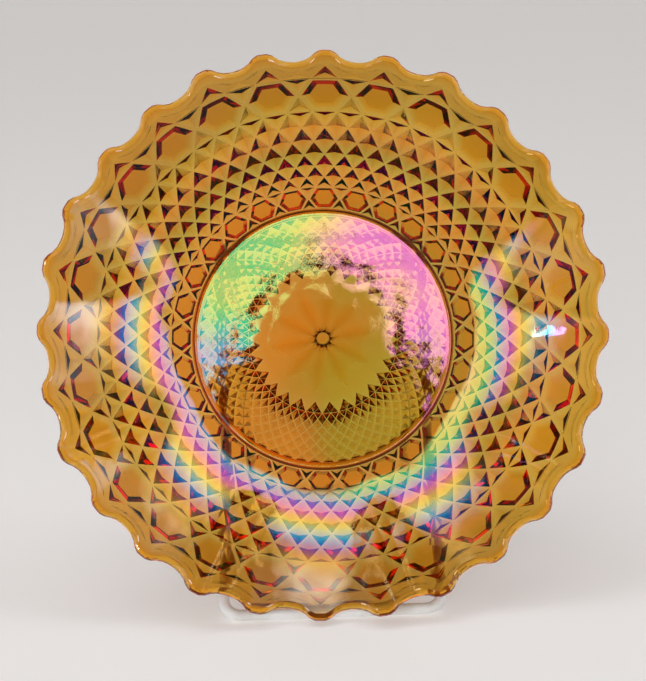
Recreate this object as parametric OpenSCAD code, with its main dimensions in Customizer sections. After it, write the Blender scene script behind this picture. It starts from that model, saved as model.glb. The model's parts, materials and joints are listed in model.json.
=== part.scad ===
// Ruffled pressed-glass bowl shown on its folding wire stand.
// X is to the right, Y goes back, Z is up, and the stand rests on Z = 0.

/* [Bowl] */
// Radius over the tips of the scallops
tip_r = 115; // [100:1:130]
// Radius at the bottom of the notches between scallops
notch_r = 111; // [96:1:127]
// Number of scallops round the rim
scallops = 28; // [20:1:32]
// Share of each scallop that is flat on top
scallop_flat = 0.24; // [0.1:0.02:0.4]
// Outer radius of the foot ring
foot_r = 56; // [50:1:60]
// Width of the foot ring
foot_w = 2.6; // [2:0.1:4]
// Depth of the recess inside the foot ring
foot_recess = 1.6; // [1:0.1:2.4]
// Height of the inside floor above the foot
floor_z = 6; // [5:0.5:8]
// How much the inside floor rises to its edge
floor_dish = 0.4; // [0:0.1:1]
// Rise of the wall per millimetre of radius at the foot
wall_rise = 0.72; // [0.5:0.02:0.8]
// Distance over which the inside curves up from the floor to that rise
floor_bend = 5; // [2:0.5:6]
// How much that rise grows with each millimetre of radius
wall_curl = 0.0033; // [0.001:0.0001:0.005]
// Thickness of the glass wall
wall_t = 4.6; // [3.5:0.1:6]
// Height that the ruffles rise at the rim
ruffle_rise = 5; // [2:0.5:7]
// Number of ruffles round the rim
ruffles = 8; // [6:1:10]
// Turn of the scallops about the bowl's axis, clockwise from the top
scallop_turn = 2.7; // [-6:0.1:6]
// Turn of the ruffles about the bowl's axis, clockwise from the top
ruffle_turn = 26.7; // [-22:0.1:45]
// How far the ruffles stray from an even spacing
ruffle_stray = 5; // [0:0.5:6]

/* [Stand] */
// Lean of the bowl and the uprights back from upright
lean = 18; // [12:1:24]
// Distance between the middles of the two uprights
stand_w = 88; // [76:1:96]
// Diameter of the coated wire
wire_d = 4.5; // [4:0.1:5.5]
// Diameter of the steel wire inside the coating
core_d = 3.2; // [2.4:0.1:3.6]
// Radius of the wire's bends at the middle of the wire
bend_r = 7; // [5:0.5:9]
// Radius on the bowl where its wall lies on the front bar
rest_r = 110; // [106:0.5:110]
// Distance of the heel bends below the bowl's axis
heel_drop = 43; // [36:0.5:44]
// Distance of the hinge wire above the bowl's axis
hinge_rise = 32; // [26:1:36]
// Distance from the hinge wire to the top wire
top_gap = 11; // [10:0.5:14]
// Diameter of the coated hinge wire
hinge_d = 4.2; // [3.8:0.1:4.4]
// Diameter of the steel inside the hinge wire
hinge_core_d = 3; // [2.4:0.1:3.2]

/* [Strut] */
// Angle between the open strut and the uprights
open_angle = 38; // [30:1:45]
// Outer radius of the two hinge sleeves
sleeve_r = 4.2; // [3.6:0.1:4.4]
// Length of each hinge sleeve
sleeve_len = 6; // [5:0.5:8]
// Gap between a sleeve and its upright
sleeve_gap = 0.8; // [0.5:0.1:2]
// Length of the stop tails above the hinge wire
tail_len = 13.5; // [12:0.5:16]

/* [Fit] */
// Gap between the bowl and the stand
rest_gap = 0.3; // [0.2:0.05:0.5]
// Gap between a stop tail and the top wire
stop_gap = 0.3; // [0.2:0.05:0.5]
// Radial gap between a sleeve and the hinge wire
hinge_play = 0.1; // [0.05:0.01:0.1]

/* [Hidden] */
$fn = 48;
steps_per_scallop = 4;
steps = scallops * steps_per_scallop;
lip_bulge = 1.35; // how far the rounded lip stands out beyond the wall's ends
origin_y = 13.588; // moves the whole model so that its box is centred on Z
wire_r = wire_d / 2;
core_r = core_d / 2;
half_w = stand_w / 2;
hinge_r = hinge_d / 2;
hinge_core_r = hinge_core_d / 2;
bend_swell = 0.01; // bent wire is this much thicker, so that it meets straight wire cleanly
bend_lap = 0.05; // straight wire runs this far into each bend
bent_r = wire_r + bend_swell;
floor_r = foot_r - 2;

// Where the scalloped edge is at the given angle
function scallop_phase(angle) =
    let (turns = (angle - scallop_turn) * scallops / 360) abs(turns - round(turns));
function edge_r(angle) =
    let (past = max(0, scallop_phase(angle) - scallop_flat / 2) / (0.5 - scallop_flat / 2))
    notch_r + (tip_r - notch_r) * pow(1 - past, 2);

// How far the ruffles lift the wall, from -0.6 between folds to 1 at each fold
function ruffle_wave(angle) =
    let (fold = ruffle_turn + ruffle_stray * cos(angle - 102), turn = ruffles * (angle - fold))
    (cos(turn) + 0.25 * cos(2 * turn)) / 1.25;
function ruffle_lift(angle, r) =
    ruffle_rise * ruffle_wave(angle) * pow(max(0, r - foot_r) / (tip_r - foot_r), 1.6);

// Height of the smooth inside and of the outside, above the foot
function risen(past) = 1 - exp(-past / floor_bend); // share of the wall's rise reached so far
function inside_z(r) = let (past = max(0, r - floor_r))
    floor_z + floor_dish * pow(min(r, floor_r) / floor_r, 2)
    + wall_rise * (past - floor_bend * risen(past)) + wall_curl * pow(past, 2);
function wall_slope(r) = let (past = max(0, r - floor_r))
    atan(wall_rise * risen(past) + 2 * wall_curl * past);
function outside_z(r) = inside_z(r) - wall_t / cos(wall_slope(r));

// Section of the glass at one angle, as [radius, height], from the middle of the inside to
// the middle of the underside
inside_rings = [14, 34, floor_r, 58, 63, 68, 76, 85, 94, 103];
outside_rings = [103, 94, 85, 76, 68, 63, foot_r + 1.2];
function lip(angle) =
    let (edge = edge_r(angle), slope = wall_slope(edge - 0.7 * wall_t))
    let (r = edge - wall_t * sin(slope), start = [r, inside_z(r)])
    let (through = wall_t * [sin(slope), -cos(slope)], along = [cos(slope), sin(slope)])
    [for (k = [0, 0.25, 0.5, 0.75, 1]) start + k * through + lip_bulge * sin(180 * k) * along];
foot_section = [
    [foot_r, 1.4],
    [foot_r - 0.6, 0],
    [foot_r - foot_w + 0.6, 0],
    [foot_r - foot_w, foot_recess],
    [30, foot_recess],
];
function section(angle) = concat(
    [for (r = inside_rings) [r, inside_z(r)]],
    lip(angle),
    [for (r = outside_rings) [r, outside_z(r)]],
    foot_section
);
rings = len(section(0));
function on_glass(angle, r, z) =
    [r * sin(angle), r * cos(angle), z + ruffle_lift(angle, r)];

// Turns the bowl's own frame, with its axis along Z, to face forward and lean back
function from_bowl(v, z) =
    [0, origin_y + v * sin(lean) - z * cos(lean), axis_z + v * cos(lean) + z * sin(lean)];

// The front bar lies on the table and the lowest part of the wall lies on the bar
bar_off = wire_r + rest_gap;
rest_slope = wall_slope(rest_r);
rest_z = outside_z(rest_r) + ruffle_lift(180, rest_r);
bar_v = -rest_r - bar_off * sin(rest_slope);
bar_z = rest_z - bar_off * cos(rest_slope);
axis_z = bent_r - bar_v * cos(lean) - bar_z * sin(lean);
bar_at = from_bowl(bar_v, bar_z);
heel_at = from_bowl(-heel_drop, -bar_off);
hinge_back = core_r + hinge_core_r - 0.1; // the hinge wire is welded to the uprights' backs
hinge_at = from_bowl(hinge_rise, -bar_off - hinge_back);
top_at = from_bowl(hinge_rise + top_gap, -bar_off);
function at_x(x, p) = [x, p[1], p[2]];

// The closed loop of wire that is the front frame
frame_route = [
    at_x(-half_w, bar_at),
    at_x(half_w, bar_at),
    at_x(half_w, heel_at),
    at_x(half_w, top_at),
    at_x(-half_w, top_at),
    at_x(-half_w, heel_at),
];

// The strut is drawn hanging straight down from the hinge, then swung open
leg_x = half_w - wire_r - sleeve_gap - sleeve_len / 2;
strut_tilt = open_angle - lean;
strut_len = (hinge_at[2] - bent_r) / cos(strut_tilt);
strut_route = [
    [-leg_x, 0, 0],
    [-leg_x, 0, -strut_len],
    [leg_x, 0, -strut_len],
    [leg_x, 0, 0],
];
// The tails lean back from the uprights until they meet the back of the top wire
tail_lean = asin((wire_d + stop_gap) / norm([top_gap, hinge_back])) - atan2(hinge_back, top_gap);

// Straight and bent wire
function unit(v) = v / norm(v);
function turn_to(x, y, z) = // angles that turn the three axes to the given directions
    abs(x[2]) > 0.9999
        ? [atan2(-sign(x[2]) * y[0], y[1]), -90 * sign(x[2]), 0]
        : [atan2(y[2], z[2]), -asin(x[2]), atan2(x[1], x[0])];
function trim(a, b, c) = // length that a bend takes off each side of its corner
    bend_r * tan(acos(max(-1, min(1, unit(b - a) * unit(c - b)))) / 2);
function past_bend(a, b, c) = trim(a, b, c) - bend_lap;

module straight(a, b, r) {
    d = b - a;
    translate(a)
        rotate([0, acos(d[2] / norm(d)), atan2(d[1], d[0])])
            cylinder(h = norm(d), r = r);
}

module bend(a, b, c, r) {
    into = unit(b - a);
    out = unit(c - b);
    angle = acos(into * out);
    side = unit(out - into * (into * out));
    start = b - into * trim(a, b, c);
    translate(start + side * bend_r)
        rotate(turn_to(-side, into, cross(-side, into)))
            rotate_extrude(angle = angle)
                translate([bend_r, 0]) circle(r = r + bend_swell);
}

module wire_loop(route, r) {
    n = len(route);
    for (i = [0:n - 1]) {
        a = route[i];
        b = route[(i + 1) % n];
        c = route[(i + 2) % n];
        before = route[(i + n - 1) % n];
        d = unit(b - a);
        straight(a + d * past_bend(before, a, b), b - d * past_bend(a, b, c), r);
        bend(a, b, c, r);
    }
}

module wire_open(route, r) {
    n = len(route);
    for (i = [0:n - 2]) {
        a = route[i];
        b = route[i + 1];
        d = unit(b - a);
        from = i == 0 ? a : a + d * past_bend(route[i - 1], a, b);
        to = i == n - 2 ? b : b - d * past_bend(a, b, route[i + 2]);
        straight(from, to, r);
    }
    for (i = [1:n - 2]) bend(route[i - 1], route[i], route[i + 1], r);
}

module at_hinge() {
    translate(hinge_at) rotate([strut_tilt, 0, 0]) children();
}

module across(half_len, r) { // a cylinder along X, centred on the origin
    translate([-half_len, 0, 0]) rotate([0, 90, 0]) cylinder(h = 2 * half_len, r = r);
}

module strut_wire(r, tail) {
    at_hinge() difference() {
        union() {
            wire_open(strut_route, r);
            for (side = [-1, 1]) translate([side * leg_x, 0, 0])
                rotate([-tail_lean - open_angle, 0, 0]) cylinder(h = tail, r = r);
        }
        across(half_w, sleeve_r);
    }
}

module glass_bowl() {
    grid = [for (i = [0:steps - 1]) each
        let (angle = scallop_turn + 360 * i / steps)
        [for (p = section(angle)) on_glass(angle, p[0], p[1])]];
    inside_pole = steps * rings;
    under_pole = inside_pole + 1;
    sides = [for (i = [0:steps - 1], j = [0:rings - 2]) each
        let (a = i * rings + j, b = ((i + 1) % steps) * rings + j)
        [[a, b + 1, b], [a, a + 1, b + 1]]];
    inside_fan = [for (i = [0:steps - 1]) [inside_pole, i * rings, ((i + 1) % steps) * rings]];
    under_fan = [for (i = [0:steps - 1])
        [under_pole, ((i + 1) % steps) * rings + rings - 1, i * rings + rings - 1]];
    color("darkorange", 0.7)
        translate([0, origin_y, axis_z]) rotate([90 - lean, 0, 0])
            polyhedron(
                points = concat(grid, [[0, 0, floor_z]], [[0, 0, foot_recess]]),
                faces = concat(sides, inside_fan, under_fan)
            );
}

module hinge_wire(half_len, r) {
    translate(hinge_at) across(half_len, r);
}

module frame_coating() {
    color("white") difference() {
        union() {
            wire_loop(frame_route, wire_r);
            hinge_wire(half_w + 1, hinge_r);
        }
        wire_loop(frame_route, core_r);
        hinge_wire(half_w, hinge_core_r);
    }
}

module frame_core() {
    color("silver") wire_loop(frame_route, core_r);
}

module hinge_wire_core() {
    color("silver") difference() {
        hinge_wire(half_w, hinge_core_r);
        wire_loop(frame_route, core_r);
    }
}

module hinge_sleeves() {
    color("white") at_hinge() for (side = [-1, 1]) translate([side * leg_x, 0, 0])
        difference() {
            across(sleeve_len / 2, sleeve_r);
            across(sleeve_len, hinge_r + hinge_play);
        }
}

module strut_coating() {
    color("white") difference() {
        strut_wire(wire_r, tail_len);
        strut_wire(core_r, tail_len - 1);
    }
}

module strut_core() {
    color("silver") strut_wire(core_r, tail_len - 1);
}

glass_bowl();
frame_coating();
frame_core();
hinge_wire_core();
hinge_sleeves();
strut_coating();
strut_core();
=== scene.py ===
"""Ruffled amber carnival-glass bowl leaning on its folding coated-wire stand."""
import json
import math

import bpy
import numpy as np
from mathutils import Matrix, Vector


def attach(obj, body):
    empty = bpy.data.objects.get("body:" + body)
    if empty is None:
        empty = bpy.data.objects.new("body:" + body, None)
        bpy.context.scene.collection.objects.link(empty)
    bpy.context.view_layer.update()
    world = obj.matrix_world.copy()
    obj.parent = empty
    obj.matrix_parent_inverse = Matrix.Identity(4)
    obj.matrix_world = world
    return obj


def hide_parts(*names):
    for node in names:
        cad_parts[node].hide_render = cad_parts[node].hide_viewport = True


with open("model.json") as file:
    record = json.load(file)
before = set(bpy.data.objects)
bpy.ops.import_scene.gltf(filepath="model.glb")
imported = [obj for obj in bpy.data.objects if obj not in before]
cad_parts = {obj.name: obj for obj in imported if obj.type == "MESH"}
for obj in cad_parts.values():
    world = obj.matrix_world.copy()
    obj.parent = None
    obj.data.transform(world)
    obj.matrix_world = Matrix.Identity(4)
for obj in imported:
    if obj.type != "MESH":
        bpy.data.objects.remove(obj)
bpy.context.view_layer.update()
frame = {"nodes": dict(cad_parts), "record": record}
joints = {joint["name"]: joint for joint in frame["record"]["behaviour"]["joints"]}

# ---------------------------------------------------------------- the bowl's sizes, in mm
MM = 0.001
TIP_R = 114.65
NOTCH_R = 111.0
SCALLOPS = 28
PITCH = 2 * math.pi / SCALLOPS
SCALLOP_TURN = math.radians(2.7)
KNOB_WIDTH = 0.45  # share of half a scallop at which its knob has fallen to half height
KNOB_POWER = 4  # a higher power makes a flatter knob with steeper sides
FOOT_R = 56.0
FOOT_W = 2.6
FOOT_RECESS = 1.6
FLOOR_R = FOOT_R - 2
FLOOR_Z = 6.0
FLOOR_DISH = 0.4
FLOOR_BEND = 5.0
WALL_RISE = 0.72
WALL_CURL = 0.0033
WALL_T = 4.6
LIP_BULGE = 1.2
LIP_FULLNESS = 0.8  # under 1 makes the lip's profile squarer
LIP_SET_IN = 0.7  # the lip takes the wall's slope this share of its thickness in
RUFFLES = 8
RUFFLE_RISE = 5.0
RUFFLE_PEAK = 0.25  # a second wave that sharpens the peaks
RUFFLE_SPREAD = 1.6  # a higher power keeps the ruffles nearer the rim
RUFFLE_TURN = math.radians(26.7)
RUFFLE_STRAY = math.radians(5)
STRAY_FROM = math.radians(102)

# How the bowl stands: its lean, and how far above and behind its foot's middle the hinge is
LEAN = math.radians(18)
HINGE = Vector(joints["strut_fold"]["pos_m"])
HINGE_RISE = 32.0
HINGE_BACK = 5.55
RIM_LEVEL = 50.0  # height over the foot of the point that the camera looks at

# Rows of the pressed pattern on the outside, as radii
SMALL_HEX = (57.2, 62.1, 66.8)
BIG_HEX = (95.2, 100.9, 106.6)
DIAMOND_STEPS = 6
BASE_R = (32.0, 53.2)
BASE_STEPS = 8
TOOTH_TIP = 27.2
FIELD_R = 24.4
BAND_TOP = 109.5  # the rim band is drawn up to here, then stretched to the scalloped edge

# Depths of the pattern, and the shares of each cell that its parts take
GROOVE = 1.7
BASE_GROOVE = 1.2
FIELD_DEPTH = 0.5
BAND_GROOVE = GROOVE * 0.8
BAND_DEPTH = 0.9
BEAD_GROOVE = 1.4
BEAD_SHARE = 0.6
TENT_SHARE = 0.9
STRIP = 0.87  # what a cell keeps inside the flat strip round it
BUTTON_TOP = 0.1
BIG_BUTTON = 0.56
SMALL_BUTTON = 0.62
GAP_TOP = 0.3  # depth of the peaks between the hexagons and teeth, as a share of the groove
HALF_TOP = 0.25  # the same for the half diamonds that end the rows
WALL_CUTS = 3
BASE_CUTS = 2

# The flower in the middle of the underside
PETALS = 10
PETAL_TURN = math.radians(10.2)
PETAL_TIP = 22.5
PETAL_VALLEY = 15.4
PETAL_RAISE = 0.3
PETAL_SPINE = 0.95
PETAL_BEVEL = (0.5, -0.3)
PETAL_RINGS = (0.85, 0.6, 0.35, 0.19)
PETAL_COLUMNS = 16
DOT_R = 2.4
DOT_PROFILE = [(DOT_R + 0.4, -0.25), (DOT_R, 0.1), (DOT_R - 0.5, 0.45), (1.2, 0.6)]
DOT_RAISE = 0.62

# The foot ring's profile, as radius and height, from the wall in to the base
FOOT_PROFILE = [
    (FOOT_R + 0.25, 1.8),
    (FOOT_R, 1.1),
    (FOOT_R - 0.25, 0.35),
    (FOOT_R - 0.8, 0.0),
    (FOOT_R - FOOT_W + 0.7, 0.0),
    (FOOT_R - FOOT_W + 0.2, 0.35),
    (FOOT_R - FOOT_W, 1.2),
]

# Rings round the lip, outside first, then in to the first round ring, then to the middle
LIP_SHARES = (0.92, 0.8, 0.65, 0.5, 0.35, 0.2, 0.08)
RIM_POINTS = SCALLOPS * 4 * WALL_CUTS
ROUND_R = 92
RIM_SHARES = (1.0, 0.9, 0.75, 0.6, 0.45, 0.3, 0.15)
INSIDE_R = [
    *np.linspace(ROUND_R, FLOOR_R + 1, 22),
    *(FLOOR_R + 0.4, FLOOR_R, FLOOR_R - 0.6, FLOOR_R - 2),
    *np.linspace(FLOOR_R - 5, 4, 12),
]

SHARP_ANGLE = math.radians(9)
KEY_SCALE = 10000  # pattern corners closer than one part of this are one vertex

# ---------------------------------------------------------------- the bowl's surfaces


def edge_radius(angle):
    """The scalloped edge: rounded knobs with long shallow hollows between them."""
    turns = (angle - SCALLOP_TURN) / PITCH
    away = 2 * np.abs(turns - np.round(turns))
    lowest = 1 / (1 + KNOB_WIDTH**-KNOB_POWER)
    knob = 1 / (1 + (away / KNOB_WIDTH) ** KNOB_POWER)
    return NOTCH_R + (TIP_R - NOTCH_R) * (knob - lowest) / (1 - lowest)


def ruffle_lift(angle, r):
    """How far the ruffles lift the wall; the foot stays flat."""
    fold = RUFFLE_TURN + RUFFLE_STRAY * np.cos(angle - STRAY_FROM)
    turn = RUFFLES * (angle - fold)
    wave = (np.cos(turn) + RUFFLE_PEAK * np.cos(2 * turn)) / (1 + RUFFLE_PEAK)
    outward = np.maximum(0, r - FOOT_R) / (TIP_R - FOOT_R)
    return RUFFLE_RISE * wave * outward**RUFFLE_SPREAD


def risen(past):
    """Share of the wall's rise that its curved start has reached."""
    return 1 - np.exp(-past / FLOOR_BEND)


def inside_z(r):
    past = np.maximum(0, r - FLOOR_R)
    dish = FLOOR_DISH * (np.minimum(r, FLOOR_R) / FLOOR_R) ** 2
    return FLOOR_Z + dish + WALL_RISE * (past - FLOOR_BEND * risen(past)) + WALL_CURL * past**2


def slope(r):
    past = np.maximum(0, r - FLOOR_R)
    return np.arctan(WALL_RISE * risen(past) + 2 * WALL_CURL * past)


def outside_z(r):
    return inside_z(r) - WALL_T / np.cos(slope(r))


def on_bowl(angle, r, z):
    """A point of the bowl's own frame, with the ruffles' lift, as x, y, z in mm."""
    return np.stack([r * np.sin(angle), r * np.cos(angle), z + ruffle_lift(angle, r)], -1)


def on_wall(angle, r, depth):
    """The outside of the wall, cut in by depth along its normal, up to the scalloped edge."""
    low = BIG_HEX[2]
    if r > low:
        r = low + (r - low) / (BAND_TOP - low) * (edge_radius(angle) - low)
    s = slope(r)
    return on_bowl(angle, r - depth * np.sin(s), outside_z(r) + depth * np.cos(s))


def on_base(angle, r, depth):
    return on_bowl(angle, r, FOOT_RECESS + depth)


def on_lip(angle, share):
    """Radius and height on the rounded lip; share goes from 0 inside to 1 outside."""
    edge = edge_radius(angle)
    s = slope(edge - WALL_T * LIP_SET_IN)
    r = edge - WALL_T * np.sin(s)
    through = share * WALL_T
    bulge = LIP_BULGE * math.sin(math.pi * share) ** LIP_FULLNESS
    return (
        r + through * np.sin(s) + bulge * np.cos(s),
        inside_z(r) - through * np.cos(s) + bulge * np.sin(s),
    )


def bowl_matrix():
    """Places the bowl's own frame from the stand's hinge, which the frame gives."""
    up = Vector((0, math.sin(LEAN), math.cos(LEAN)))
    out = Vector((0, -math.cos(LEAN), math.sin(LEAN)))
    foot = HINGE - up * HINGE_RISE * MM + out * HINGE_BACK * MM
    turn = Matrix((Vector((1, 0, 0)), up, out)).transposed().to_4x4()
    return Matrix.Translation(foot) @ turn @ Matrix.Scale(MM, 4)


# ---------------------------------------------------------------- the bowl's mesh


class Shell:
    """Collects the triangles of one closed mesh, with vertices shared between them."""

    def __init__(self):
        self.points, self.faces, self.inside = [], [], []

    def add(self, points):
        first = len(self.points)
        self.points.extend(map(tuple, points))
        return list(range(first, len(self.points)))

    def ring(self, count, r, z):
        """A closed ring of [angle, vertex]; r and z are numbers or functions of the angle."""
        angles = SCALLOP_TURN + np.arange(count) * 2 * math.pi / count
        radii = r(angles) if callable(r) else np.full(count, float(r))
        heights = z(angles) if callable(z) else np.full(count, float(z))
        return list(zip(angles - SCALLOP_TURN, self.add(on_bowl(angles, radii, heights))))

    def join(self, a, b, inside=False):
        """Joins two closed rings of [angle, vertex] with triangles, ring b on the left."""
        a, b = sorted(a), sorted(b)
        i = j = 0
        full = 2 * math.pi
        while i < len(a) or j < len(b):
            next_a = a[i + 1][0] if i + 1 < len(a) else a[0][0] + full
            next_b = b[j + 1][0] if j + 1 < len(b) else b[0][0] + full
            p, q = a[i % len(a)][1], b[j % len(b)][1]
            if j >= len(b) or (i < len(a) and next_a <= next_b):
                self.face(p, a[(i + 1) % len(a)][1], q, inside)
                i += 1
            else:
                self.face(p, b[(j + 1) % len(b)][1], q, inside)
                j += 1

    def face(self, a, b, c, inside=False):
        self.faces.append((a, c, b))
        self.inside.append(inside)

    def cap(self, ring, point, inside=False, flip=False):
        """Closes a ring with a fan of triangles up to one point."""
        top = self.add([point])[0]
        ring = sorted(ring)
        for (_, a), (_, b) in zip(ring, ring[1:] + ring[:1]):
            self.face(*((b, a, top) if flip else (a, b, top)), inside)

    def facets(self, triangles, cuts, place):
        """Cuts each pattern triangle of (turn, r, depth) corners finely and puts it in place."""
        corners = {}
        for triangle in triangles:
            a, b, c = np.array(triangle, float)
            grid = {}
            for i in range(cuts + 1):
                for j in range(cuts + 1 - i):
                    turn, r, depth = (a * (cuts - i - j) + b * i + c * j) / cuts
                    turn %= SCALLOPS
                    key = (
                        round(turn * KEY_SCALE) % (SCALLOPS * KEY_SCALE),
                        round(r * KEY_SCALE),
                    )
                    if key not in corners:
                        angle = SCALLOP_TURN + turn * PITCH
                        corners[key] = self.add([place(angle, r, depth)])[0]
                    grid[i, j] = corners[key]
            for i in range(cuts):
                for j in range(cuts - i):
                    self.face(grid[i, j], grid[i + 1, j], grid[i, j + 1])
                    if i + j < cuts - 1:
                        self.face(grid[i + 1, j], grid[i + 1, j + 1], grid[i, j + 1])
        return corners

    def mesh(self, name, material):
        """The finished mesh, with a face attribute that marks the lustred inside."""
        mesh = bpy.data.meshes.new(name)
        mesh.from_pydata(self.points, [], self.faces)
        mesh.materials.append(material)
        lustre = mesh.attributes.new("lustre", "FLOAT", "FACE")
        lustre.data.foreach_set("value", [float(i) for i in self.inside])
        mesh.shade_smooth()
        mesh.set_sharp_from_angle(angle=SHARP_ANGLE)
        mesh.validate()
        mesh.update()
        return mesh


def loop_at(corners, r):
    """The ring of pattern corners that lie on radius r."""
    level = round(r * KEY_SCALE)
    return [(t / KEY_SCALE * PITCH, v) for (t, radius), v in corners.items() if radius == level]


# ---------------------------------------------------------------- the pressed pattern
# A cell's corners are (turn, radius), or (turn, radius, depth); one turn is one scallop.


def fan(outline, top):
    """Triangles from a cell's outline up to one point."""
    return [(a, b, top) for a, b in zip(outline, outline[1:] + outline[:1])]


def middle(outline):
    return tuple(sum(p[i] for p in outline) / len(outline) for i in range(2))


def at_depth(outline, depth):
    return [(t, r, depth) for t, r in outline]


def shrunk(outline, share, depth):
    """The outline drawn in towards its middle, at a depth."""
    ct, cr = middle(outline)
    return [(ct + (t - ct) * share, cr + (r - cr) * share, depth) for t, r, *_ in outline]


def band_between(low, high):
    """The strip of triangles between two outlines with the same number of corners."""
    cells = []
    for i in range(len(low)):
        j = (i + 1) % len(low)
        cells += [(low[i], low[j], high[j]), (low[i], high[j], high[i])]
    return cells


def pyramid(outline, edge, top):
    """A cell with a narrow flat strip round it and straight sides up to its middle."""
    low = at_depth(outline, edge)
    foot = shrunk(low, STRIP, edge)
    return band_between(low, foot) + fan(foot, (*middle(outline), top))


def button(outline, share, edge):
    """A cell with a flat strip, a bevel and a flat top, a little crowned."""
    low = at_depth(outline, edge)
    foot = shrunk(low, STRIP, edge)
    high = shrunk(low, share, BUTTON_TOP)
    sides = band_between(low, foot) + band_between(foot, high)
    return sides + fan(high, (*middle(outline), 0.0))


def hexagon_row(rows, share):
    """One pitch of hexagons that meet at their side corners, and the triangles between."""
    low, mid, high = rows
    hexagon = [(-0.5, mid), (-0.25, low), (0.25, low), (0.5, mid), (0.25, high), (-0.25, high)]
    under = [(0.25, low), (0.75, low), (0.5, mid)]
    over = [(0.25, high), (0.5, mid), (0.75, high)]
    gaps = pyramid(under, GROOVE, GROOVE * GAP_TOP) + pyramid(over, GROOVE, GROOVE * GAP_TOP)
    return button(hexagon, share, GROOVE) + gaps


def diamond_rows(radii, first, groove):
    """One pitch of diamonds; crossings on the first radius are at first + half turns."""
    cells = []
    last = len(radii) - 1
    for k in range(last + 1):
        shift = first + 0.25 if k % 2 == 0 else first
        for half in (0, 0.5):
            t = shift + half
            below = [(t, radii[k - 1])] if k > 0 else []
            above = [(t, radii[k + 1])] if k < last else []
            outline = [(t - 0.25, radii[k])] + below + [(t + 0.25, radii[k])] + above
            cells += pyramid(outline, groove, 0.0 if below and above else groove * HALF_TOP)
    return cells


def rim_band():
    """One pitch of the plain band, with a tent under the scallop and a bead round the edge."""
    low = BIG_HEX[2]
    gutter = low + (BAND_TOP - low) * BEAD_SHARE
    apex = low + (gutter - low) * TENT_SHARE
    cells = pyramid([(-0.25, low), (0.25, low), (0.0, apex)], BAND_GROOVE, 0.0)
    quarters = (0, 0.25, 0.5, 0.75, 1)
    inner = [(t, gutter, BEAD_GROOVE) for t in quarters]
    outer = [(t, BAND_TOP, 0.0) for t in quarters]
    side = at_depth([(0.25, low), (0.75, low), (1.0, apex)], BAND_GROOVE)
    side += inner[::-1] + [(0.0, apex, BAND_GROOVE)]
    cells += fan(side, (0.5, (low + gutter) / 2, BAND_DEPTH))
    for i in range(4):
        cells += [(inner[i], inner[i + 1], outer[i + 1]), (inner[i], outer[i + 1], outer[i])]
    return cells


def base_teeth():
    """One pitch of the teeth that end the base's diamonds, and the plain field inside them."""
    root, tip, groove = BASE_R[0], TOOTH_TIP, BASE_GROOVE
    half = (root + tip) / 2
    cells = []
    for t in (0, 0.5):
        gap = [(t, root), (t + 0.25, half), (t + 0.5, root)]
        cells += pyramid(gap, groove, groove * GAP_TOP)
    tooth = at_depth([(0.5, root), (0.25, half), (0.5, tip), (0.75, half)], groove)
    cells += fan(tooth, (0.5, half, 0))
    edge = at_depth([(0, root), (0.25, half), (0.5, tip), (0.75, half), (1, root)], groove)
    for a, b in zip(edge, edge[1:]):
        on_field = [(t, FIELD_R, FIELD_DEPTH) for t in (a[0], b[0])]
        cells += [(a, *on_field), (a, on_field[1], b)]
    return cells


def all_round(cells):
    return [[(t + k, r, d) for t, r, d in tri] for k in range(SCALLOPS) for tri in cells]


def petal_share(angle):
    """0 on a petal's spine and 1 in the valley between two petals."""
    half = math.pi / PETALS
    return np.abs((angle - PETAL_TURN + half) % (2 * half) - half) / half


def petal_edge(angle, grow):
    """The flower's outline: straight lines from tips to valleys, in polar form."""
    half = math.pi / PETALS
    tip, valley = PETAL_TIP + grow, PETAL_VALLEY + grow
    along, across = valley * math.cos(half), valley * math.sin(half)
    a = petal_share(angle) * half
    return tip * across / (across * np.cos(a) + (tip - along) * np.sin(a))


def flower(shell, field):
    """The petals and the dot in the middle of the underside, joined to the plain field."""
    count = PETALS * PETAL_COLUMNS
    angles = PETAL_TURN + np.arange(count) * 2 * math.pi / count
    level = FOOT_RECESS + FIELD_DEPTH

    def petal_ring(share, height, grow):
        spine = (1 - petal_share(angles)) * PETAL_SPINE * min(1, 4 * (1 - share))
        points = on_bowl(angles, petal_edge(angles, grow) * share, level - height - spine)
        return list(zip((angles - SCALLOP_TURN) % (2 * math.pi), shell.add(points)))

    wide, narrow = PETAL_BEVEL
    rings = [petal_ring(1, 0, wide), petal_ring(1, PETAL_RAISE, narrow)]
    rings += [petal_ring(share, PETAL_RAISE, narrow) for share in PETAL_RINGS]
    shell.join(rings[0], field)
    for outer, inner in zip(rings, rings[1:]):
        shell.join(inner, outer)
    last = rings[-1]
    for r, height in DOT_PROFILE:
        here = shell.ring(count // 4, r, level - height)
        shell.join(here, last)
        last = here
    shell.cap(last, (0, 0, level - DOT_RAISE), flip=True)


def wall_pattern():
    """One pitch of the wall's outside, from the scalloped edge down to the foot."""
    ratio = BIG_HEX[0] / SMALL_HEX[2]
    radii = [SMALL_HEX[2] * ratio ** (k / DIAMOND_STEPS) for k in range(DIAMOND_STEPS)]
    diamonds = diamond_rows(radii + [BIG_HEX[0]], 0.25, GROOVE)
    outer = rim_band() + hexagon_row(BIG_HEX, BIG_BUTTON)
    return outer + diamonds + hexagon_row(SMALL_HEX, SMALL_BUTTON)


def base_pattern():
    """One pitch of the underside's lattice, its teeth and the edge of the field."""
    width = (BASE_R[1] - BASE_R[0]) / BASE_STEPS
    radii = [BASE_R[0] + k * width for k in range(BASE_STEPS + 1)]
    return diamond_rows(radii, 0.0, BASE_GROOVE) + base_teeth()


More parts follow.
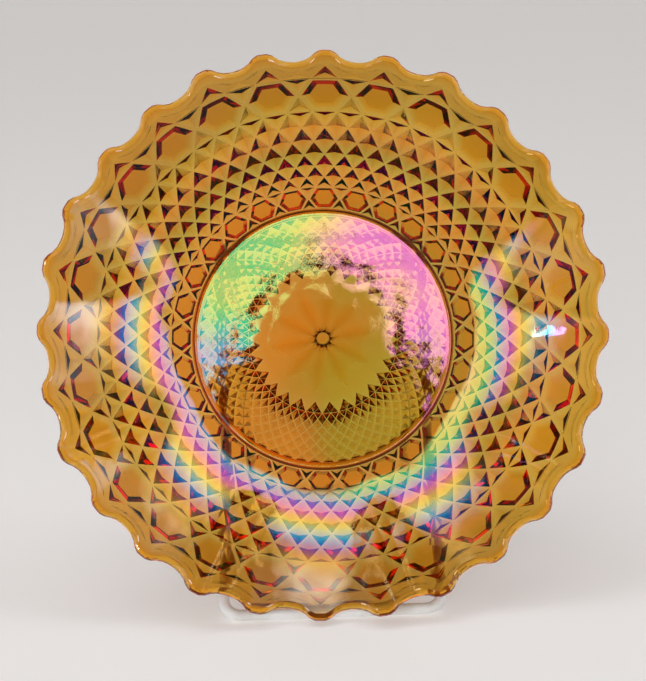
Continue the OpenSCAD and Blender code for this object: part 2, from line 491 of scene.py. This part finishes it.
def lip_and_inside(shell, outside):
    """The lip, round from the outside, then the smooth inside down to its middle."""
    last = outside
    for share in LIP_SHARES:
        here = shell.ring(
            RIM_POINTS, lambda a: on_lip(a, share)[0], lambda a: on_lip(a, share)[1]
        )
        shell.join(last, here)
        last = here
    for share in RIM_SHARES:
        def radius(angle):
            return ROUND_R + (on_lip(angle, 0)[0] - ROUND_R) * share

        here = shell.ring(RIM_POINTS, radius, lambda a: inside_z(radius(a)))
        shell.join(last, here, inside=True)
        last = here
    for r in INSIDE_R:
        here = shell.ring(RIM_POINTS, r, inside_z(r))
        shell.join(last, here, inside=True)
        last = here
    shell.cap(last, (0, 0, FLOOR_Z), inside=True)


def build_bowl(material):
    shell = Shell()
    wall = shell.facets(all_round(wall_pattern()), WALL_CUTS, on_wall)
    base = shell.facets(all_round(base_pattern()), BASE_CUTS, on_base)
    last = loop_at(wall, SMALL_HEX[0])
    for r, z in FOOT_PROFILE:
        here = shell.ring(RIM_POINTS // 2, r, z)
        shell.join(here, last)
        last = here
    shell.join(loop_at(base, BASE_R[1]), last)
    flower(shell, loop_at(base, FIELD_R))
    lip_and_inside(shell, loop_at(wall, BAND_TOP))

    mesh = shell.mesh("glass_bowl_pressed", material)
    mesh.transform(bowl_matrix())
    bowl = bpy.data.objects.new("pressed_glass_bowl", mesh)
    bpy.context.scene.collection.objects.link(bowl)
    return bowl


# ---------------------------------------------------------------- shader helpers


def new_material(name):
    material = bpy.data.materials.new(name)
    material.use_nodes = True
    tree = material.node_tree
    return material, tree, tree.nodes["Principled BSDF"]


def node(tree, kind, inputs=None, **settings):
    """A new node, with its sockets set to values or linked to other sockets."""
    made = tree.nodes.new(kind)
    for key, value in settings.items():
        setattr(made, key, value)
    for key, value in (inputs or {}).items():
        if hasattr(value, "links"):
            tree.links.new(value, made.inputs[key])
        else:
            made.inputs[key].default_value = value
    return made


def math_node(tree, operation, a, b=0.0):
    return node(tree, "ShaderNodeMath", {0: a, 1: b}, operation=operation).outputs[0]


def added(tree, a, b):
    return math_node(tree, "ADD", a, b)


def multiplied(tree, a, b):
    return math_node(tree, "MULTIPLY", a, b)


def graded(tree, value, span, ends, **settings):
    """Goes from one end to the other while the value crosses the span, and stays there."""
    sockets = {"Value": value, 1: span[0], 2: span[1], 3: ends[0], 4: ends[1]}
    return node(tree, "ShaderNodeMapRange", sockets, **settings).outputs[0]


def step(tree, value, span):
    """A smooth step from 0 to 1 while the value crosses the span."""
    return graded(tree, value, span, (0.0, 1.0), interpolation_type="SMOOTHSTEP")


def noise(tree, place, scale, detail):
    sockets = {"Vector": place, "Scale": scale, "Detail": detail}
    return node(tree, "ShaderNodeTexNoise", sockets).outputs[0]


def object_place(tree):
    return node(tree, "ShaderNodeTexCoord").outputs["Object"]


def roughen(tree, shader, height, strength, distance):
    """Gives the shader a bumped normal."""
    sockets = {"Height": height, "Strength": strength, "Distance": distance}
    bump = node(tree, "ShaderNodeBump", sockets).outputs[0]
    tree.links.new(bump, shader.inputs["Normal"])


def two_tone(tree, shader, value, stops, colours):
    """Colours the shader from one tone to the other as the value passes the stops."""
    ramp = node(tree, "ShaderNodeValToRGB", {0: value})
    for element, stop, colour in zip(ramp.color_ramp.elements, stops, colours):
        element.position = stop
        element.color = colour
    tree.links.new(ramp.outputs[0], shader.inputs["Base Color"])


# ---------------------------------------------------------------- materials

WARM_WHITE = (1.0, 0.97, 0.955, 1)
GLASS_IOR = 1.52
GLASS_TINT = (0.972, 0.745, 0.0, 1)
GLASS_DENSITY = 800.0
STIPPLE_SHARE = 0.05  # the fine grain's height, as a share of the glass's slow swell

# The lustre film's thickness in nm: thick on the floor, fading to the rim
FILM_IOR = 2.15
FILM_AT_FOOT = 305.0
FILM_AT_RIM = 65.0
FILM_FADE_FROM = 62.0
FILM_FADE_WIDTH = 24.0
FILM_EDGE = (50.0, 62.0)  # the radii between which the floor's film gives way to the wall's
FILM_WANDER = (150.0, 60.0)  # how far it wanders unevenly, on the floor and on the wall
FILM_ACROSS = (0.9, 0.35)  # how much it gains with each mm to the right, likewise
FILM_EXTRA = (24.0, 0.0)  # what the floor has more, likewise


def bowl_place(tree):
    """The place on the bowl in its own frame, in mm, its x, and its distance from the axis."""
    to_bowl = bowl_matrix().inverted()
    sockets = {
        "Vector": object_place(tree),
        "Location": to_bowl.to_translation(),
        "Rotation": to_bowl.to_euler(),
        "Scale": to_bowl.to_scale(),
    }
    place = node(tree, "ShaderNodeMapping", sockets).outputs[0]
    x, y, _ = node(tree, "ShaderNodeSeparateXYZ", {0: place}).outputs
    square = added(tree, multiplied(tree, x, x), multiplied(tree, y, y))
    return place, x, math_node(tree, "SQRT", square)


def film_thickness(tree, place, x, radius):
    """The film in broad uneven rings, a little thicker to the right."""
    past = math_node(tree, "SUBTRACT", radius, FILM_FADE_FROM)
    past = math_node(tree, "DIVIDE", math_node(tree, "MAXIMUM", past), FILM_FADE_WIDTH)
    faded = multiplied(tree, multiplied(tree, past, past), -1.0)
    fading = math_node(tree, "EXPONENT", faded)
    ringed = added(tree, multiplied(tree, fading, FILM_AT_FOOT - FILM_AT_RIM), FILM_AT_RIM)
    uneven = math_node(tree, "SUBTRACT", noise(tree, place, scale=0.02, detail=2), 0.5)
    wander = multiplied(tree, uneven, graded(tree, radius, FILM_EDGE, FILM_WANDER))
    across = multiplied(tree, x, graded(tree, radius, FILM_EDGE, FILM_ACROSS))
    extra = graded(tree, radius, FILM_EDGE, FILM_EXTRA)
    return added(tree, added(tree, ringed, wander), added(tree, across, extra))


def lustred_glass():
    """Amber glass with a lustre film on the inside."""
    material, tree, shader = new_material("lustred_amber_glass")
    shader.inputs["Base Color"].default_value = (1, 1, 1, 1)
    shader.inputs["Transmission Weight"].default_value = 1
    shader.inputs["IOR"].default_value = GLASS_IOR
    shader.inputs["Roughness"].default_value = 0.02
    shader.inputs["Thin Film IOR"].default_value = FILM_IOR
    sockets = {"Color": GLASS_TINT, "Density": GLASS_DENSITY}
    volume = node(tree, "ShaderNodeVolumeAbsorption", sockets).outputs[0]
    tree.links.new(volume, tree.nodes["Material Output"].inputs["Volume"])

    place, x, radius = bowl_place(tree)
    lustre = node(tree, "ShaderNodeAttribute", attribute_name="lustre").outputs["Fac"]
    film = multiplied(tree, film_thickness(tree, place, x, radius), lustre)
    tree.links.new(film, shader.inputs["Thin Film Thickness"])

    stipple = multiplied(tree, noise(tree, place, scale=1.2, detail=3), STIPPLE_SHARE)
    swell = noise(tree, place, scale=0.09, detail=1)
    roughen(tree, shader, added(tree, stipple, swell), strength=0.12, distance=0.0012)
    return material


def coating():
    """White dipped vinyl, a little grimy in patches."""
    material, tree, shader = new_material("dipped_vinyl")
    grime = noise(tree, object_place(tree), scale=55.0, detail=4)
    tones = ((0.70, 0.68, 0.64, 1), (0.86, 0.86, 0.85, 1))
    two_tone(tree, shader, grime, stops=(0.35, 0.55), colours=tones)
    rough = graded(tree, grime, span=(0.0, 1.0), ends=(0.32, 0.5))
    tree.links.new(rough, shader.inputs["Roughness"])
    shader.inputs["Subsurface Weight"].default_value = 0.12
    shader.inputs["Subsurface Scale"].default_value = 0.002
    roughen(tree, shader, grime, strength=0.25, distance=0.0004)
    return material


def steel():
    material, tree, shader = new_material("drawn_steel")
    shader.inputs["Base Color"].default_value = (0.55, 0.55, 0.57, 1)
    shader.inputs["Metallic"].default_value = 1
    scratches = noise(tree, object_place(tree), scale=400.0, detail=3)
    rough = graded(tree, scratches, span=(0.0, 1.0), ends=(0.25, 0.5))
    tree.links.new(rough, shader.inputs["Roughness"])
    return material


def pale_floor():
    """A matt pale floor with a faint glow of its own, so it stays even far from the lights."""
    material, tree, shader = new_material("pale_floor")
    grain = noise(tree, object_place(tree), scale=30.0, detail=4)
    tones = ((0.69, 0.67, 0.655, 1), (0.72, 0.70, 0.685, 1))
    two_tone(tree, shader, grain, stops=(0.0, 1.0), colours=tones)
    shader.inputs["Roughness"].default_value = 0.8
    shader.inputs["Emission Color"].default_value = WARM_WHITE
    shader.inputs["Emission Strength"].default_value = 0.31
    return material


# ---------------------------------------------------------------- stage, lights and camera

FLOOR_SIZE = 60
AIM_HEIGHT = 0.1  # the cards face this height over the origin

# The studio's brightness by direction, and where its soft edges are
DARK_ROOM = 0.06
PALE_WALL = 0.60
WALL_BEHIND = 0.68
SKY = 1.75
SKY_FAR = 0.07
NEAR_EDGE = (-0.12, -0.02)
FAR_EDGE = (0.13, 0.24)
BACK_EDGE = (0.7, 0.5)
HORIZON = (-0.21, -0.11)
HORIZON_TILT = 0.05
ARCH_BEND = 0.4
UNEVENNESS = 0.2
WALL_SIDE = (-0.25, 0.05)
WALL_TOP = (0.45, 0.3)

CAMERA_RISE = math.radians(14.5)
CAMERA_ROLL = math.radians(-2.2)
CAMERA_DISTANCE = 0.6
CAMERA_AIM_DROP = 0.0034
PIXELS_PER_M = 2500.0
LONG_SIDE = 681
SENSOR = 36.0

SQUARE = [(0.5, 0.5), (-0.5, 0.5), (-0.5, -0.5), (0.5, -0.5)]
DISC_SIDES = 24
DISC = [
    (math.cos(2 * math.pi * i / DISC_SIDES) / 2, math.sin(2 * math.pi * i / DISC_SIDES) / 2)
    for i in range(DISC_SIDES)
]


def make_floor():
    """The floor, which reflections in the glass don't see."""
    bpy.ops.mesh.primitive_plane_add(size=FLOOR_SIZE, location=(0, 0, 0))
    floor = bpy.context.object
    floor.name = "floor"
    floor.data.materials.append(pale_floor())
    floor.visible_glossy = False


def area_light(name, place, aim, size, radiance):
    """A soft panel, given by how bright its face is."""
    data = bpy.data.lights.new(name, "AREA")
    data.shape = "RECTANGLE"
    data.size, data.size_y = size
    data.energy = radiance * size[0] * size[1] * math.pi
    light = bpy.data.objects.new(name, data)
    light.location = place
    look = Vector(aim) - Vector(place)
    light.rotation_euler = look.to_track_quat("-Z", "Y").to_euler()
    light.visible_camera = light.visible_glossy = light.visible_transmission = False
    bpy.context.scene.collection.objects.link(light)


def card(name, centre, size, radiance, outline=SQUARE):
    """A card that only reflections see: a bright one is a window, a dark one blocks it."""
    material = bpy.data.materials.new(name)
    material.use_nodes = True
    tree = material.node_tree
    tree.nodes.clear()
    glow = node(tree, "ShaderNodeEmission", {"Color": (1, 1, 1, 1), "Strength": radiance})
    out = node(tree, "ShaderNodeOutputMaterial")
    tree.links.new(glow.outputs[0], out.inputs["Surface"])
    mesh = bpy.data.meshes.new(name)
    corners = [(x * size[0], y * size[1], 0) for x, y in outline]
    mesh.from_pydata(corners, [], [list(range(len(corners)))])
    mesh.materials.append(material)
    made = bpy.data.objects.new(name, mesh)
    look = Vector((0, 0, AIM_HEIGHT)) - centre
    turn = look.to_track_quat("-Z", "Y").to_matrix().to_4x4()
    made.matrix_world = Matrix.Translation(centre) @ turn
    made.visible_camera = made.visible_diffuse = made.visible_shadow = False
    made.visible_transmission = made.visible_volume_scatter = False
    bpy.context.scene.collection.objects.link(made)


def toward(azimuth, rise, distance):
    """A place seen from the bowl; azimuth 0 is in front and 90 to the right, in degrees."""
    a, e = math.radians(azimuth), math.radians(rise)
    flat = distance * math.cos(e)
    return Vector((flat * math.sin(a), -flat * math.cos(a), AIM_HEIGHT + distance * math.sin(e)))


def make_world():
    """A studio: dark in front, a pale wall at the back, and an arch of soft light over it."""
    world = bpy.data.worlds.new("studio")
    world.use_nodes = True
    tree = world.node_tree
    way = node(tree, "ShaderNodeTexCoord").outputs["Generated"]
    uneven = math_node(tree, "SUBTRACT", noise(tree, way, scale=2.5, detail=3), 0.5)
    shift = multiplied(tree, uneven, UNEVENNESS)
    x, y, z = node(tree, "ShaderNodeSeparateXYZ", {0: way}).outputs
    back = added(tree, y, shift)
    high = added(tree, z, shift)
    tilted = added(tree, high, multiplied(tree, x, HORIZON_TILT))
    across = added(tree, back, multiplied(tree, multiplied(tree, x, x), ARCH_BEND))
    far = graded(tree, across, FAR_EDGE, (1.0, SKY_FAR))
    arch = multiplied(tree, step(tree, across, NEAR_EDGE), far)
    arch = multiplied(tree, arch, step(tree, back, BACK_EDGE))
    over = multiplied(tree, arch, step(tree, tilted, HORIZON))
    wall = multiplied(tree, step(tree, back, WALL_SIDE), step(tree, high, WALL_TOP))
    lit = math_node(
        tree, "MAXIMUM", multiplied(tree, wall, WALL_BEHIND), multiplied(tree, over, SKY)
    )
    lit = math_node(tree, "MAXIMUM", lit, DARK_ROOM)
    seen = node(tree, "ShaderNodeLightPath").outputs["Is Camera Ray"]
    strength = node(tree, "ShaderNodeMix", {0: seen, 2: lit, 3: PALE_WALL}).outputs[0]
    background = tree.nodes["Background"]
    background.inputs["Color"].default_value = WARM_WHITE
    tree.links.new(strength, background.inputs["Strength"])
    bpy.context.scene.world = world
    bpy.context.scene.view_settings.view_transform = "Standard"


def make_camera():
    data = bpy.data.cameras.new("camera")
    camera = bpy.data.objects.new("camera", data)
    bpy.context.scene.collection.objects.link(camera)
    rim_middle = bowl_matrix() @ Vector((0, 0, RIM_LEVEL))
    back = Vector((0, -math.cos(CAMERA_RISE), math.sin(CAMERA_RISE)))
    camera.location = rim_middle + back * CAMERA_DISTANCE
    aim = rim_middle - Vector((0, 0, CAMERA_AIM_DROP))
    turn = (aim - camera.location).to_track_quat("-Z", "Y").to_matrix().to_4x4()
    roll = Matrix.Rotation(CAMERA_ROLL, 4, "Z")
    camera.rotation_euler = (turn @ roll).to_euler()
    data.sensor_width = SENSOR
    data.lens = SENSOR * CAMERA_DISTANCE * PIXELS_PER_M / LONG_SIDE
    data.clip_start = 0.01
    bpy.context.scene.camera = camera


def make_lights():
    """Two soft panels that light the stage, and the cards that the glass reflects."""
    area_light("room_light", (-0.5, -0.7, 1.8), aim=(0, 0, 0), size=(1.6, 1.6), radiance=0.9)
    area_light("front_fill", (-0.2, -1.6, 0.5), aim=(0, 0, 0.05), size=(1.2, 0.6), radiance=6.0)
    card("window_front", toward(0, 23, 1.3), size=(0.30, 0.22), radiance=2.35)
    card("dark_disc", toward(0, 21.4, 1.0), size=(0.125, 0.115), radiance=0.0, outline=DISC)
    card("dark_panel", toward(0, 17.0, 1.0), size=(0.20, 0.125), radiance=0.0)
    card("mullion", toward(0.4, 24.6, 1.1), size=(0.007, 0.05), radiance=0.05)
    card("transom", toward(2.4, 23.3, 1.1), size=(0.06, 0.006), radiance=0.05)
    card("lamp", toward(-76.3, 3.4, 1.6), size=(0.03, 0.2), radiance=14.0, outline=DISC)


# ---------------------------------------------------------------- putting it together

make_camera()
make_world()
make_floor()

bowl = build_bowl(lustred_glass())
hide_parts("glass_bowl")
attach(bowl, "bowl")

make_lights()

looks = {
    "frame_coating": coating, "strut_coating": coating, "hinge_sleeves": coating,
    "frame_core": steel, "hinge_wire_core": steel, "strut_core": steel,
}
for name, look in looks.items():
    material = look()
    for slot in frame["nodes"][name].material_slots:
        slot.material = material

bpy.context.view_layer.update()
